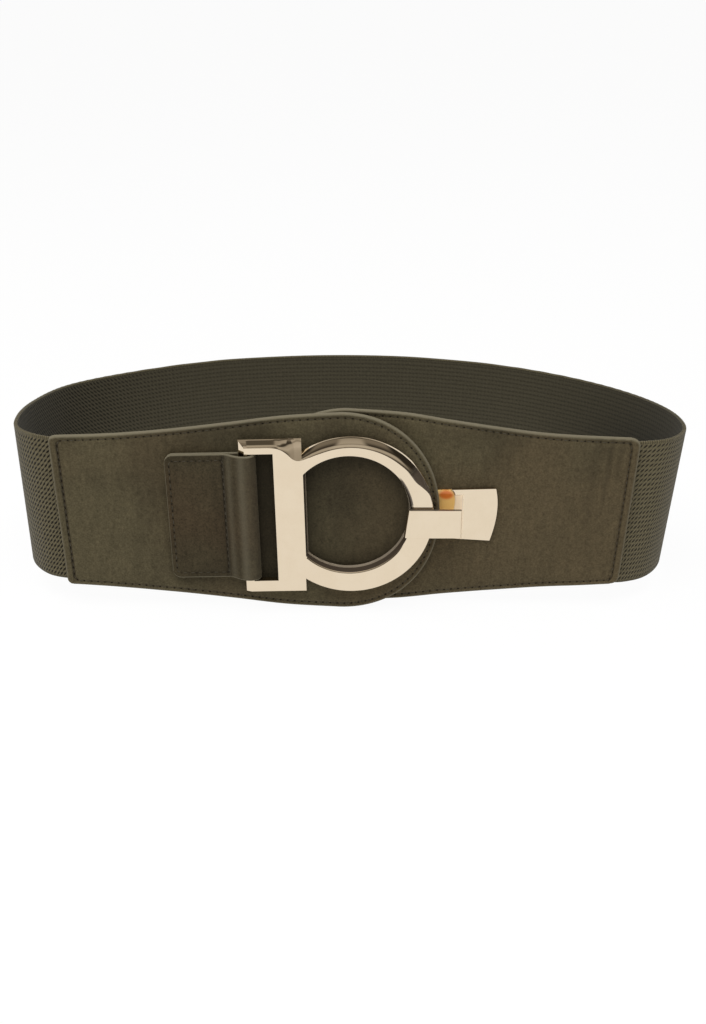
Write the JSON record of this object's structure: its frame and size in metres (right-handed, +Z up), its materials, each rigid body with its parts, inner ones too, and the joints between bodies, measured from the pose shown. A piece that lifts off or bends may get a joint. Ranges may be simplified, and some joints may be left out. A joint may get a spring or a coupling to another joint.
{
  "type": "wide stretch waist belt with ring buckle",
  "caption": "Wide waist belt standing on edge: overlapping suede panels, an elastic band round the back, and a pale gold ring buckle caught by a hook plate",
  "frame": {"origin": "on the floor, under the middle of the whole loop", "axes": "+X to the right of the buckle as seen from in front, -Y out of its face, +Z up"},
  "size_m": [0.2836, 0.1464, 0.086],
  "materials": {
    "elastic": "woven elastic",
    "suede": "olive suede",
    "pale_gold": "polished pale gold plating"
  },
  "bodies": {
    "root": {"elastic_band": "elastic", "left_panel": "suede", "right_panel": "suede", "buckle_tab": "suede", "buckle_ring": "pale_gold", "hook": "pale_gold"}
  },
  "joints": []
}
